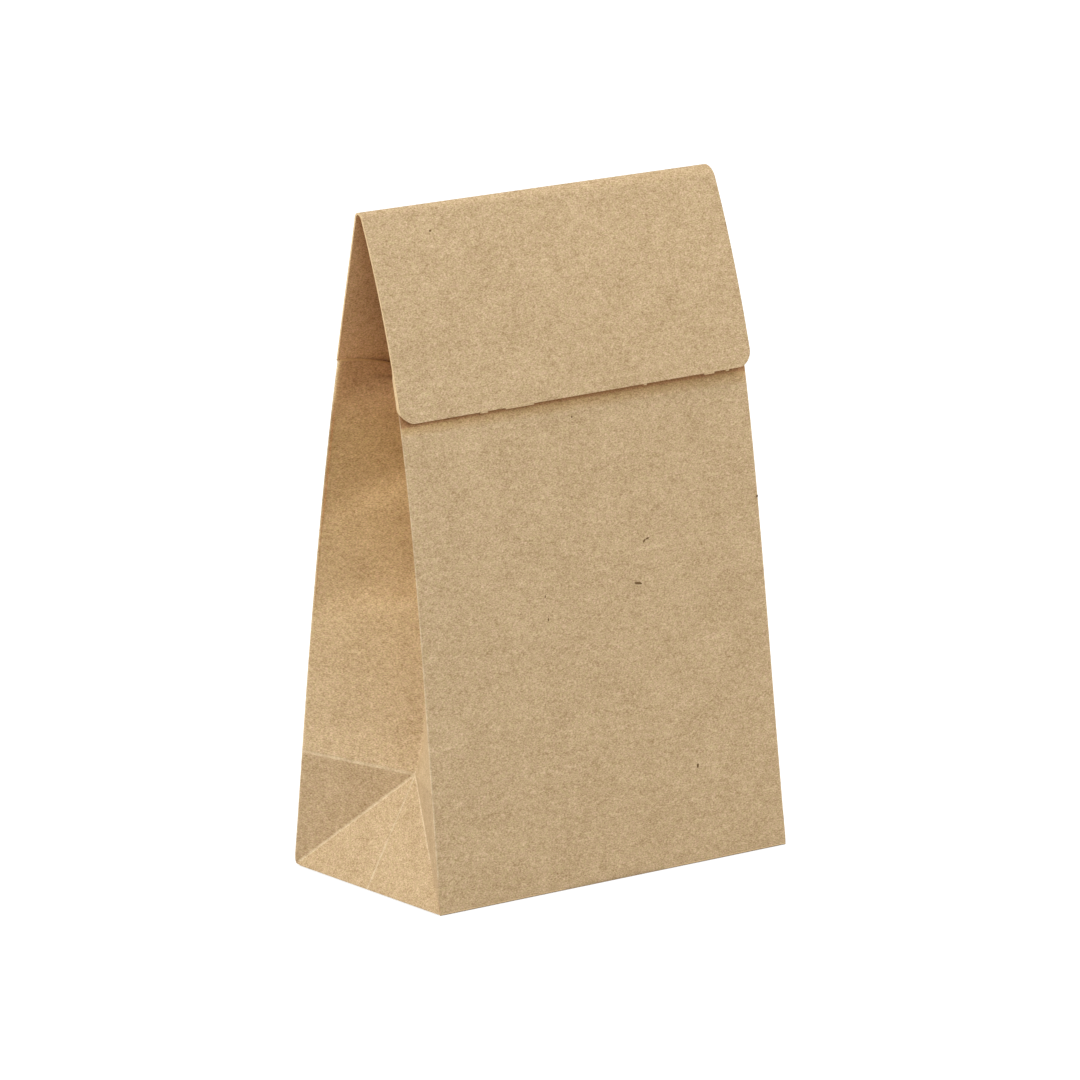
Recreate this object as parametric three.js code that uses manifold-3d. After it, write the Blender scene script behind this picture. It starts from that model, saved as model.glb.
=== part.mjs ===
import * as THREE from "three";
import { mergeVertices } from "three/addons/utils/BufferGeometryUtils.js";
import Module from "manifold-3d";

// Favour bag: one die-cut sheet of kraft card, folded and glued into a small block-bottom bag.
// Its two sides are gussets, folded inwards, and each ends at the foot in a triangle that comes down to
// the base. The front panel and the gussets stop at the mouth. The back panel goes on past it, is
// creased at the top and comes down over the front panel as a loose flap with round corners.
// The origin is on the floor at the middle of the footprint, +Z is up and the flap faces -Y.
// All lengths are millimetres, angles are radians and profiles are the card's outer face.

// Driving dimensions
const bagWidth = 90;
const bagDepth = 50;
const foldHeight = 139.7;
const mouthHeight = 108.5;
const cardThickness = 0.4;

// The flap: its length from the top fold to its lower edge, at the left end, and how much shorter it is
// at the right end, because it was folded a little out of square. It swings open from the fold: the air
// between its lower edge and the front panel is least at the left end and most at the right end.
const flapLength = 43;
const flapSkew = 1;
const flapCornerRadius = 3.5;
const flapGap = 0.12;
const flapLift = 2;

// The folds: outer radius of the crease at the top, how far it lies behind the bag's middle, and the
// softness of the folds round the base.
const topFoldRadius = 0.6;
const topFoldSetback = 1.5;
const baseFoldRadius = 0.35;

// The gussets: each half is this much wider than half the depth, so that it can fold in freely.
const gussetSlack = 0.65;

// The base: how far its two long flaps overlap along the middle, and the seam that this leaves below.
const baseOverlap = 14;
const seamWidth = 0.9;
const seamDepth = 0.3;

// Panels lean in towards the top fold. "even" is the share of that lean which is spread evenly over the
// height, and "late" is how late the rest comes: a higher value keeps the panel straight for longer.
const backLean = { even: 0.73, late: 3 };
const frontLean = {
  left: { even: 0.59, late: 4.6 },
  right: { even: 0.75, late: 6.6 },
};

// Remnants of the nicks that held the sheet in its frame, on the flap's lower edge: where the middle of
// each one is, as a share of the width from the left end, and how wide it is.
const nickHeight = 0.4;
const nicks = [
  { share: 0.23, width: 1.8 },
  { share: 0.33, width: 7.1 },
  { share: 0.688, width: 0.7 },
  { share: 0.874, width: 2.6 },
  { share: 0.927, width: 0.7 },
];

// How finely the sheet is divided
const columns = 4;
const gussetColumns = 4;
const lowerRows = 4;
const upperRows = 16;
const strapRows = 12;
const foldSteps = 8;
const flapRows = 16;
const cornerSteps = 6;

const halfWidth = bagWidth / 2;
const halfDepth = bagDepth / 2;
const gussetHalf = halfDepth + gussetSlack;
const baseThickness = 2 * cardThickness;

const mix = THREE.MathUtils.lerp;

// Distance from the middle plane of a panel that starts at the base and ends at the top fold.
function leaningPanel(foot, head, headHeight, lean, height) {
  const rise = height / headHeight;
  return head + (foot - head) * (1 - lean.even * rise - (1 - lean.even) * rise ** lean.late);
}

// Angle from the vertical at which such a panel arrives at the top fold.
function arrivalAngle(lean) {
  return Math.atan((halfDepth / foldHeight) * (lean.even + lean.late * (1 - lean.even)));
}

// The top fold is a small arc. A panel arrives on it where the arc has the panel's own angle.
const foldCentreHeight = foldHeight - topFoldRadius;

function foldArrival(direction, angle) {
  return {
    y: topFoldSetback + direction * topFoldRadius * Math.cos(angle),
    z: foldCentreHeight + topFoldRadius * Math.sin(angle),
  };
}

const backAngle = arrivalAngle(backLean);
const backArrival = foldArrival(1, backAngle);

function backY(height) {
  return leaningPanel(halfDepth, backArrival.y, backArrival.z, backLean, height);
}

// One record for each end of the bag: where it is, how the front leans there and how the flap hangs.
function bagEnd(side, lean, lift, length) {
  const flapAngle = arrivalAngle(lean);
  return { side, lean, lift, length, flapAngle, arrival: foldArrival(-1, flapAngle) };
}

const ends = {
  left: bagEnd(-1, frontLean.left, flapGap, flapLength),
  right: bagEnd(1, frontLean.right, flapGap + flapLift, flapLength - flapSkew),
};

function frontY(end, height) {
  return leaningPanel(-halfDepth, end.arrival.y, end.arrival.z, end.lean, height);
}

// The flap's own outer face: the front panel's line carried on, swung out by one card and the air.
function flapY(end, height) {
  const fallen = (end.arrival.z - height) / end.length;
  return frontY(end, height) - (cardThickness + end.lift) * fallen;
}

// The height of the flap's lower edge, found by walking down the flap until its length is used up.
function flapEndHeight(end) {
  const step = 0.05;
  let height = end.arrival.z;
  let left = end.length;
  while (left > 0) {
    const run = Math.hypot(step, flapY(end, height - step) - flapY(end, height));
    height -= step * Math.min(1, left / run);
    left -= run;
  }
  return height;
}

// Gusset creases. The crease along the foot of each panel is as high as half the depth, along the card.
const footLean = Math.atan((backLean.even * (halfDepth - topFoldSetback)) / foldHeight);
const creaseHeight = halfDepth * Math.cos(footLean);

// The creases of one gusset meet at an apex, as far from the base's end edge as from the ends of the foot
// creases on both panels. It is a little lower than these, and so is all of the centre crease.
function gussetApexHeight(end) {
  const half = (backY(creaseHeight) - frontY(end, creaseHeight)) / 2;
  return (half ** 2 + creaseHeight ** 2) / (2 * creaseHeight);
}

for (const end of Object.values(ends)) {
  end.flapEnd = flapEndHeight(end);
  end.apexHeight = gussetApexHeight(end);
  end.creaseDrop = creaseHeight - end.apexHeight;
}

// The centre crease: each half of the gusset keeps its width, whatever the distance of the panels.
function centreCrease(end, height) {
  const half = (backY(height) - frontY(end, height)) / 2;
  const inset = Math.sqrt(gussetHalf ** 2 - half ** 2 - end.creaseDrop ** 2);
  const middle = (backY(height) + frontY(end, height)) / 2;
  return new THREE.Vector3(end.side * (halfWidth - inset), middle, height - end.creaseDrop);
}

// The creases of a gusset at one height, from front to back. Below the apex they are the two diagonals
// and the middle of the triangle between them. Above it all three are the centre crease.
function gussetCreases(end, height, inset) {
  if (height >= creaseHeight) {
    const crease = centreCrease(end, height);
    return [crease, crease.clone(), crease.clone()];
  }
  const apex = centreCrease(end, creaseHeight);
  const share = height / creaseHeight;
  return [-1, 0, 1].map((place) => {
    const foot = new THREE.Vector3(end.side * (halfWidth - inset), place * (halfDepth - inset), 0);
    return foot.lerp(apex, share);
  });
}

// All points of a gusset between its front and its back corner. The halves twist a little, so each is
// divided evenly between its corner and its crease.
function gussetPoints(frontCorner, creases, backCorner) {
  const inner = Array.from({ length: gussetColumns - 1 }, (_, i) => (i + 1) / gussetColumns);
  const frontHalf = inner.map((share) => frontCorner.clone().lerp(creases[0], share));
  const backHalf = inner.map((share) => creases[2].clone().lerp(backCorner, share));
  return [...frontHalf, ...creases, ...backHalf];
}

// The outline of the bag at one height, counter-clockwise from the front left corner.
function outline(height, inset = 0) {
  const front = [];
  const back = [];
  for (let i = 0; i <= columns; i += 1) {
    const share = i / columns;
    const x = mix(-1, 1, share) * (halfWidth - inset);
    const y = mix(frontY(ends.left, height), frontY(ends.right, height), share) + inset;
    front.push(new THREE.Vector3(x, y, height));
    back.push(new THREE.Vector3(-x, backY(height) - inset, height));
  }
  const right = gussetPoints(front.at(-1), gussetCreases(ends.right, height, inset), back[0]);
  const left = gussetPoints(front[0], gussetCreases(ends.left, height, inset), back.at(-1));
  return [...front, ...right, ...back, ...left.reverse()];
}

// Where each part of the outline starts. The triangles are the two sides next to a gusset's middle.
const backStart = columns + 1 + 2 * gussetColumns + 1;
const triangleStarts = {
  right: columns + gussetColumns,
  left: backStart + columns + gussetColumns,
};

// Where the line a-b meets the line c-d, both moved to their left by the given distances.
function movedCrossing(a, b, distanceAB, c, d, distanceCD) {
  const first = new THREE.Vector2(b.x - a.x, b.y - a.y).normalize();
  const second = new THREE.Vector2(d.x - c.x, d.y - c.y).normalize();
  const p = new THREE.Vector2(a.x - first.y * distanceAB, a.y + first.x * distanceAB);
  const q = new THREE.Vector2(c.x - second.y * distanceCD, c.y + second.x * distanceCD);
  const turn = first.cross(second);
  if (Math.abs(turn) < 1e-6) {
    return new THREE.Vector2(b.x - first.y * distanceAB, b.y + first.x * distanceAB);
  }
  const along = q.clone().sub(p).cross(second) / turn;
  return p.addScaledVector(first, along);
}

// The inner face of the card at one height: every side of the outline moved in by one thickness. The
// foot triangles lean, so the card measures more across them on the level.
function innerOutline(height) {
  const ring = outline(height);
  const distances = ring.map(() => cardThickness);
  if (height < creaseHeight) {
    for (const [name, start] of Object.entries(triangleStarts)) {
      distances[start] = (cardThickness * gussetHalf) / ends[name].apexHeight;
      distances[start + 1] = distances[start];
    }
  }
  const count = ring.length;
  const isShort = (i) => ring[i].distanceTo(ring[(i + 1) % count]) < 1e-4;
  return ring.map((point, i) => {
    let before = (i + count - 1) % count;
    while (isShort(before)) {
      before = (before + count - 1) % count;
    }
    let after = i;
    while (isShort(after)) {
      after = (after + 1) % count;
    }
    const a = ring[before];
    const b = ring[(before + 1) % count];
    const c = ring[after];
    const d = ring[(after + 1) % count];
    const moved = movedCrossing(a, b, distances[before], c, d, distances[after]);
    return new THREE.Vector3(moved.x, moved.y, point.z);
  });
}

// Triangles of the closed sheet, as a plain list of corner positions
const corners = [];

function addTriangle(a, b, c) {
  const smallest = Math.min(a.distanceTo(b), b.distanceTo(c), c.distanceTo(a));
  if (smallest > 1e-5) {
    corners.push(a.x, a.y, a.z, b.x, b.y, b.z, c.x, c.y, c.z);
  }
}

function addQuad(a, b, c, d) {
  addTriangle(a, b, c);
  addTriangle(a, c, d);
}

function addCap(ring, facesUp) {
  const middle = new THREE.Vector3(0, 0, ring[0].z);
  ring.forEach((point, i) => {
    const next = ring[(i + 1) % ring.length];
    if (facesUp) {
      addTriangle(middle, point, next);
    } else {
      addTriangle(middle, next, point);
    }
  });
}

function addRings(lower, upper, facesIn) {
  lower.forEach((point, i) => {
    const next = (i + 1) % lower.length;
    if (facesIn) {
      addQuad(point, upper[i], upper[next], lower[next]);
    } else {
      addQuad(point, lower[next], upper[next], upper[i]);
    }
  });
}

function heightsBetween(low, high, steps) {
  return Array.from({ length: steps + 1 }, (_, i) => mix(low, high, i / steps));
}

// The bag up to its mouth: outer walls, inner walls, both faces of the base and the cut edge.
const lowerHeights = heightsBetween(0, creaseHeight, lowerRows).slice(1);
const upperHeights = heightsBetween(creaseHeight, mouthHeight, upperRows).slice(1);
const wallHeights = [...lowerHeights, ...upperHeights];

const outerRings = [
  outline(0, baseFoldRadius),
  outline(baseFoldRadius),
  ...wallHeights.map((height) => outline(height)),
];
const innerRings = [
  innerOutline(baseThickness),
  ...wallHeights.map((height) => innerOutline(height)),
];

addCap(outerRings[0], false);
addCap(innerRings[0], true);
for (let i = 1; i < outerRings.length; i += 1) {
  addRings(outerRings[i - 1], outerRings[i], false);
}
for (let i = 1; i < innerRings.length; i += 1) {
  addRings(innerRings[i - 1], innerRings[i], true);
}

const mouthOuter = outerRings.at(-1);
const mouthInner = innerRings.at(-1);

mouthOuter.forEach((point, i) => {
  const onBack = i >= backStart && i < backStart + columns;
  const next = (i + 1) % mouthOuter.length;
  if (!onBack) {
    addQuad(point, mouthOuter[next], mouthInner[next], mouthInner[i]);
  }
});

// The strap: back panel above the mouth, top fold and flap, as the path of its outer face at one end.
// Each stop on the path also says how wide the strap is there.
function strapPath(end) {
  const path = [];
  for (const height of heightsBetween(mouthHeight, backArrival.z, strapRows).slice(1)) {
    path.push({ y: backY(height), z: height, reach: halfWidth });
  }
  for (let i = 1; i < foldSteps; i += 1) {
    const angle = mix(backAngle, Math.PI - end.flapAngle, i / foldSteps);
    path.push({
      y: topFoldSetback + topFoldRadius * Math.cos(angle),
      z: foldCentreHeight + topFoldRadius * Math.sin(angle),
      reach: halfWidth,
    });
  }
  const cornerStart = end.flapEnd + flapCornerRadius;
  for (const height of heightsBetween(end.arrival.z, cornerStart, flapRows)) {
    path.push({ y: flapY(end, height), z: height, reach: halfWidth });
  }
  for (let i = 1; i <= cornerSteps; i += 1) {
    const angle = (Math.PI / 2) * (i / cornerSteps);
    const height = cornerStart - flapCornerRadius * Math.sin(angle);
    const reach = halfWidth - flapCornerRadius * (1 - Math.cos(angle));
    path.push({ y: flapY(end, height), z: height, reach });
  }
  return path;
}

// The same path on the card's inner face, to the left of the way the path runs.
function innerPath(path, start) {
  return path.map((stop, i) => {
    const before = i === 0 ? start : path[i - 1];
    const after = path[Math.min(i + 1, path.length - 1)];
    const run = new THREE.Vector2(after.y - before.y, after.z - before.z).setLength(cardThickness);
    return { y: stop.y - run.y, z: stop.z + run.x, reach: stop.reach };
  });
}

function strapRow(leftStop, rightStop) {
  return Array.from({ length: columns + 1 }, (_, i) => {
    const share = i / columns;
    const x = mix(rightStop.reach, -leftStop.reach, share);
    return new THREE.Vector3(x, mix(rightStop.y, leftStop.y, share), mix(rightStop.z, leftStop.z, share));
  });
}

const mouthBack = { y: backY(mouthHeight), z: mouthHeight };
const leftPath = strapPath(ends.left);
const rightPath = strapPath(ends.right);
const leftInner = innerPath(leftPath, mouthBack);
const rightInner = innerPath(rightPath, mouthBack);
const onBackPanel = (ring) => ring.slice(backStart, backStart + columns + 1);
const strapOuter = [onBackPanel(mouthOuter), ...leftPath.map((stop, i) => strapRow(stop, rightPath[i]))];
const strapInner = [onBackPanel(mouthInner), ...leftInner.map((stop, i) => strapRow(stop, rightInner[i]))];

for (let i = 1; i < strapOuter.length; i += 1) {
  const [outerLow, outerHigh] = [strapOuter[i - 1], strapOuter[i]];
  const [innerLow, innerHigh] = [strapInner[i - 1], strapInner[i]];
  for (let c = 0; c < columns; c += 1) {
    addQuad(outerLow[c], outerLow[c + 1], outerHigh[c + 1], outerHigh[c]);
    addQuad(innerLow[c], innerHigh[c], innerHigh[c + 1], innerLow[c + 1]);
  }
  addQuad(outerLow[0], outerHigh[0], innerHigh[0], innerLow[0]);
  addQuad(outerLow[columns], innerLow[columns], innerHigh[columns], outerHigh[columns]);
}

const flapEndOuter = strapOuter.at(-1);
const flapEndInner = strapInner.at(-1);
for (let c = 0; c < columns; c += 1) {
  addQuad(flapEndOuter[c], flapEndOuter[c + 1], flapEndInner[c + 1], flapEndInner[c]);
}

// Joining and cutting
const wasm = await Module();
wasm.setup();

function toSolid(geometry) {
  const bare = geometry.clone();
  bare.deleteAttribute("normal");
  bare.deleteAttribute("uv");
  const merged = mergeVertices(bare, 1e-4);
  const mesh = new wasm.Mesh({
    numProp: 3,
    vertProperties: new Float32Array(merged.attributes.position.array),
    triVerts: new Uint32Array(merged.index.array),
  });
  return new wasm.Manifold(mesh);
}

function toGeometry(solid) {
  const mesh = solid.getMesh();
  const geometry = new THREE.BufferGeometry();
  geometry.setAttribute("position", new THREE.BufferAttribute(new Float32Array(mesh.vertProperties), 3));
  geometry.setIndex(new THREE.BufferAttribute(new Uint32Array(mesh.triVerts), 1));
  geometry.computeVertexNormals();
  return geometry;
}

const sheet = new THREE.BufferGeometry();
sheet.setAttribute("position", new THREE.Float32BufferAttribute(corners, 3));
let bag = toSolid(sheet);

// Below each end the base is one card thinner, between the slanting folds of the two long flaps.
function endRecess(side) {
  const past = 1;
  const frontEdge = baseOverlap / 2;
  const corner = halfWidth - baseFoldRadius;
  const shape = new THREE.Shape([
    new THREE.Vector2(side * (corner + past), -halfDepth + baseFoldRadius - past),
    new THREE.Vector2(side * (halfWidth - halfDepth - frontEdge), frontEdge),
    new THREE.Vector2(side * (halfWidth - halfDepth + frontEdge), frontEdge),
    new THREE.Vector2(side * (corner + past), halfDepth - baseFoldRadius + past),
  ]);
  const recess = new THREE.ExtrudeGeometry(shape, { depth: cardThickness + past, bevelEnabled: false });
  return toSolid(recess.translate(0, 0, -past));
}

// Along the middle of the base the back flap steps up over the front flap's cut edge.
function baseSeam() {
  const reach = halfWidth - halfDepth + baseOverlap / 2;
  const past = 0.5;
  const shape = new THREE.Shape([
    new THREE.Vector2(0, seamDepth),
    new THREE.Vector2(0, -past),
    new THREE.Vector2(seamWidth * (1 + past / seamDepth), -past),
  ]);
  const seam = new THREE.ExtrudeGeometry(shape, { depth: 2 * reach, bevelEnabled: false });
  seam.translate(0, 0, -reach);
  seam.applyMatrix4(new THREE.Matrix4().makeBasis(
    new THREE.Vector3(0, 1, 0),
    new THREE.Vector3(0, 0, 1),
    new THREE.Vector3(1, 0, 0),
  ));
  return toSolid(seam.translate(0, baseOverlap / 2, 0));
}

for (const end of Object.values(ends)) {
  bag = bag.subtract(endRecess(end.side));
}
bag = bag.subtract(baseSeam());

// A nick stands in the flap's own card and reaches just below its lower edge.
for (const nick of nicks) {
  const rooted = 1;
  const box = new THREE.BoxGeometry(nick.width, cardThickness / 2, nickHeight + rooted);
  const edgeHeight = mix(ends.left.flapEnd, ends.right.flapEnd, nick.share);
  const outerFace = mix(
    flapY(ends.left, ends.left.flapEnd),
    flapY(ends.right, ends.right.flapEnd),
    nick.share,
  );
  box.translate(
    mix(-halfWidth, halfWidth, nick.share),
    outerFace + cardThickness / 2,
    edgeHeight + (rooted - nickHeight) / 2,
  );
  bag = bag.add(toSolid(box));
}

// Uncoated brown kraft card, matt, with no print
const kraftCard = new THREE.MeshStandardMaterial({ color: 0xc4a983, roughness: 0.88, metalness: 0 });
const bagMesh = new THREE.Mesh(toGeometry(bag), kraftCard);
bagMesh.name = "bag";

const favourBag = new THREE.Group();
favourBag.name = "favour_bag";
favourBag.add(bagMesh);

export default favourBag;
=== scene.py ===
import math

import bpy
from mathutils import Matrix, Vector


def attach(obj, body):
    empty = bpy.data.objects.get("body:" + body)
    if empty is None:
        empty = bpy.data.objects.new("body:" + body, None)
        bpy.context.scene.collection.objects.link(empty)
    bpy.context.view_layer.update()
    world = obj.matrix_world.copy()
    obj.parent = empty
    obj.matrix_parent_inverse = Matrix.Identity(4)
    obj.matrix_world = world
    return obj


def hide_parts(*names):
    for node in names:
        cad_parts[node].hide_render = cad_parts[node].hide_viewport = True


# A small favour bag: one die-cut sheet of brown kraft card, folded into a block-bottom bag with gusseted
# sides. The back panel goes on past the mouth, is creased at the top and comes down over the front as a
# loose flap. Lengths are metres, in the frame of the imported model: +Z is up and the flap faces -Y.

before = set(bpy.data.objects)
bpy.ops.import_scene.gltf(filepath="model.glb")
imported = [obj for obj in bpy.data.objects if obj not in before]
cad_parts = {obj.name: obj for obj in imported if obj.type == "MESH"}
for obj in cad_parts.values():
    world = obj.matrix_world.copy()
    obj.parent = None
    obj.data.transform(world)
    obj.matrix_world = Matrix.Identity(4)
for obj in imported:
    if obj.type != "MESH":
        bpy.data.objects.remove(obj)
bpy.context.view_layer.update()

MM = 0.001

# The bag's sizes
HALF_WIDTH = 45 * MM
HALF_DEPTH = 25 * MM
FOLD_HEIGHT = 139.7 * MM
MOUTH_HEIGHT = 108.5 * MM
CARD = 0.4 * MM
TOP_FOLD_RADIUS = 0.6 * MM
TOP_FOLD_SETBACK = 1.5 * MM
GUSSET_HALF = HALF_DEPTH + 0.65 * MM
BASE_OVERLAP = 14 * MM
END_FLAP_REACH = 13 * MM

# The flap: its length and how far its lower edge stands off the front panel, at each end
FLAP_CORNER = 3.5 * MM
FLAP = {
    "Left": {"length": 43 * MM, "lift": 0.45 * MM},
    "Right": {"length": 42 * MM, "lift": 2.12 * MM},
}

# How the panels lean in: the share that is even over the height, and how late the rest comes
LEAN = {
    "Back": {"even": 0.66, "late": 2.55},
    "Left": {"even": 0.59, "late": 4.6},
    "Right": {"even": 0.71, "late": 5.6},
}

# The top fold is fuller to the front than to the back, and most at its right end. The back panel swells out
# late to meet it. The flap is crowned below it, and the crown is mostly near the fold.
FULL_FOLD = {
    "Left": {"front": 1.6 * MM, "back": 1.05 * MM, "rise": 1.6 * MM},
    "Right": {"front": 3.5 * MM, "back": 2.0 * MM, "rise": 3.5 * MM},
}
SWELL_LATE = 3.6
FLAP_CROWN = {"Left": 0.5 * MM, "Right": 0.55 * MM}
CROWN_LATE = 3.0

# Card doesn't twist. Each half of a gusset lies in flat facets that meet in soft slanting bends: the height
# of each bend at the panel's edge, and how steeply it climbs inwards
SOFT_BENDS = ((55.0 * MM, 0.37), (74.9 * MM, 0.54), (99.8 * MM, 0.33))
BEND_WIDTH = 7 * MM

# The facets from the foot up: the height at which an even gusset has a facet's angle, and by how many degrees
# the facet is pressed back from it. The last one is folded over onto the back panel, two cards from its outer
# face. They begin over this height above the crease across the foot.
FACETS = ((41.0 * MM, 0.0), (68.0 * MM, 4.0), (90.7 * MM, 7.7))
LAST_FACET = math.radians(0.2)
PRESSED = 2.1 * CARD
FOLD_OVER = 1.0 * MM
FACETS_BEGIN = 9 * MM

# How far from its line a fold is round, and how far from each corner of the base the wear there reaches. The
# back left corner has all of that wear and the others have a share.
FOLD_SOFTNESS = 0.5 * MM
CORNER_SOFTNESS = 2.2 * MM
CORNER_WEAR = 0.6 * MM
OTHER_CORNERS = 0.3

# The cut edges at the mouth and below the flap are crushed: each slopes this far up to the inner face
MOUTH_SLOPE = 0.35 * MM
FLAP_SLOPE = 0.25 * MM

# The pale line of a fold stops this far above the ground, in front of a depth and behind the bag's middle
FRONT_BEGINS = -1 * MM
FRONT_LINE_END = 8 * MM
BACK_LINE_END = 0.45 * MM

# The crease across the panels is flattened out, and so is the one up the foot's triangle: each looks like the
# edge of a crease's line, this far from its middle
CREASE_FADE = 0.35 * MM
MIDDLE_FADE = 0.06 * MM

# The share of a gusset half's width, at its edge with a panel, over which its painted shade fades in
EDGE_SHARE = 0.012

# How much shade is painted on the gusset beside the foot's triangle, darkening it. Below the flap's edge, at
# each end: where the front panel comes into sight, and how far from there a warm shadow is painted on it
FOOT_PAINTED_SHADE = {"Back": 1.0, "Front": 0.65}
UNDER_EDGE = {"Left": 0.3 * MM, "Right": 0.75 * MM}
UNDER_FLAP = {"Left": 2.6 * MM, "Right": 3.4 * MM}

# The nicks' remnants on the flap's lower edge, rooted in its card: share of the width from the left end, and
# width in millimetres
NICK_HEIGHT = 0.3 * MM
NICK_ROOT = 0.3 * MM
NICK_THICKNESS = 0.8 * CARD
NICKS = ((0.23, 1.8), (0.33, 7.1), (0.688, 0.7), (0.874, 2.6), (0.927, 0.7))

# The larger bark grains: place across and up, length and width in millimetres, and tilt. A worn grain shows
# less than its size.
GRAIN_THICKNESS = 0.16 * MM
GRAIN_OVERSIZE = 1.3
GRAINS = {
    "flap": ((-29.3, 134.7, 0.45, 0.4, 0.0),),
    "front": (
        (-1.6, 94.8, 0.3, 0.45, 0.0),
        (13.9, 67.6, 0.7, 0.36, -50.0),
        (14.8, 68.0, 0.7, 0.3, -14.0),
        (11.5, 59.3, 1.6, 0.42, 12.0),
        (23.3, 19.9, 0.42, 0.8, 8.0),
        (-12.4, 55.3, 0.25, 0.6, 0.0),
        (44.6, 72.6, 0.5, 0.4, 0.0),
        (-12.7, 60.0, 0.2, 0.5, 0.0),
    ),
}


def arrival(direction, lean):
    """Where a panel with that lean meets the arc of the top fold, and at what angle from the vertical."""
    angle = math.atan(HALF_DEPTH / FOLD_HEIGHT * (lean["even"] + lean["late"] * (1 - lean["even"])))
    depth = TOP_FOLD_SETBACK + direction * TOP_FOLD_RADIUS * math.cos(angle)
    height = FOLD_HEIGHT - TOP_FOLD_RADIUS + TOP_FOLD_RADIUS * math.sin(angle)
    return {"depth": depth, "height": height, "angle": angle}


TOP = {panel: arrival(1 if panel == "Back" else -1, lean) for panel, lean in LEAN.items()}
FOOT = {"Back": HALF_DEPTH, "Left": -HALF_DEPTH, "Right": -HALF_DEPTH}
SIDE = {"Left": -1, "Right": 1}
FROM_BEHIND = ("Right", "Left")
BASE_CORNERS = {
    name + end: (side * HALF_WIDTH, place * HALF_DEPTH, 0.0)
    for end, side in SIDE.items()
    for name, place in (("Front", -1), ("Back", 1))
}


def panel_depth(panel, height):
    """Depth of a leaning panel's outer face at a height."""
    rise = height / TOP[panel]["height"]
    lean = LEAN[panel]
    share = lean["even"] * rise + (1 - lean["even"]) * rise ** lean["late"]
    return FOOT[panel] + (TOP[panel]["depth"] - FOOT[panel]) * share


def between_ends(x, left, right):
    """A value at a place across the bag, from its values at the two ends."""
    return left + (right - left) * (x + HALF_WIDTH) / (2 * HALF_WIDTH)


def flap_depth(end, height):
    """Depth of the flap's outer face: the front panel's line, swung out about the top fold."""
    fallen = (TOP[end]["height"] - height) / FLAP[end]["length"]
    return panel_depth(end, height) - (CARD + FLAP[end]["lift"]) * fallen


def flap_end(end):
    """Height of the flap's lower edge, where its length is used up."""
    step = 0.05 * MM
    height = TOP[end]["height"]
    left = FLAP[end]["length"]
    while left > 0:
        run = math.hypot(step, flap_depth(end, height - step) - flap_depth(end, height))
        height -= step * min(1, left / run)
        left -= run
    return height


FLAP_END = {end: flap_end(end) for end in SIDE}

# Each gusset's creases meet at an apex. The crease across each half is as high as half the depth.
CREASE_HEIGHT = HALF_DEPTH * math.cos(
    math.atan(LEAN["Back"]["even"] * (HALF_DEPTH - TOP_FOLD_SETBACK) / FOLD_HEIGHT)
)


def apex_height(end):
    """Height of the top of the foot's triangle, at an end."""
    half = (panel_depth("Back", CREASE_HEIGHT) - panel_depth(end, CREASE_HEIGHT)) / 2
    return (half**2 + CREASE_HEIGHT**2) / (2 * CREASE_HEIGHT)


CREASE_DROP = {end: CREASE_HEIGHT - apex_height(end) for end in SIDE}


def facet_angle(height):
    """How far a gusset's half is turned from the panels at a height."""
    return math.asin((panel_depth("Back", height) - panel_depth("Left", height)) / 2 / GUSSET_HALF)


FACET_ANGLES = [facet_angle(height) - math.radians(back) for height, back in FACETS] + [LAST_FACET]


def top_arc(end):
    """The top fold's arc at an end: its radii, its centre's depth, and the angle and height where it ends."""
    lean = TOP[end]["angle"]
    fold = FULL_FOLD[end]
    height = FOLD_HEIGHT - fold["rise"] * (1 - math.sin(lean))
    centre = flap_depth(end, height) - FLAP_CROWN[end] + fold["front"] * math.cos(lean)
    return fold | {"centre": centre, "end": math.pi - lean, "landing": height}


ARC = {end: top_arc(end) for end in SIDE}


def crowned_depth(end, height):
    """Depth of the flap's outer face with its crown, which dies out where the corner begins."""
    corner = FLAP_END[end] + FLAP_CORNER
    share = max((height - corner) / (ARC[end]["landing"] - corner), 0)
    return flap_depth(end, height) - FLAP_CROWN[end] * share**CROWN_LATE

# Nodes, colours and meshes


def add_node(tree, kind, inputs=(), **settings):
    """Adds one node with its settings and links. A kind that doesn't say Node is a ShaderNode, and the node's
    operation may follow it. The inputs come in the order of the sockets, or by name or place, and each is a
    number, a socket or a whole node."""
    kind, _, operation = kind.partition(" ")
    node = tree.nodes.new(kind if "Node" in kind else "ShaderNode" + kind)
    if operation:
        node.operation = operation
    for name, value in settings.items():
        setattr(node, name, value)
    for key, value in inputs.items() if isinstance(inputs, dict) else enumerate(inputs):
        if isinstance(key, int):
            socket = node.inputs[key]
        else:
            socket = next(s for s in node.inputs if s.name == key and s.enabled)
        if isinstance(value, bpy.types.Node):
            value = next(s for s in value.outputs if s.enabled)
        if isinstance(value, bpy.types.NodeSocket):
            tree.links.new(value, socket)
        else:
            socket.default_value = value
    return node


def srgb(code):
    """An sRGB hex colour as linear red, green, blue and alpha."""
    shares = [int(code[i : i + 2], 16) / 255 for i in (1, 3, 5)]
    return [s / 12.92 if s <= 0.04045 else ((s + 0.055) / 1.055) ** 2.4 for s in shares] + [1.0]


def new_tree(name, sizes):
    """A Geometry Nodes tree with one named float input for each size."""
    tree = bpy.data.node_groups.new(name, "GeometryNodeTree")
    tree.interface.new_socket("Geometry", in_out="INPUT", socket_type="NodeSocketGeometry")
    for size in sizes:
        tree.interface.new_socket(size, in_out="INPUT", socket_type="NodeSocketFloat")
    tree.interface.new_socket("Geometry", in_out="OUTPUT", socket_type="NodeSocketGeometry")
    return tree


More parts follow.
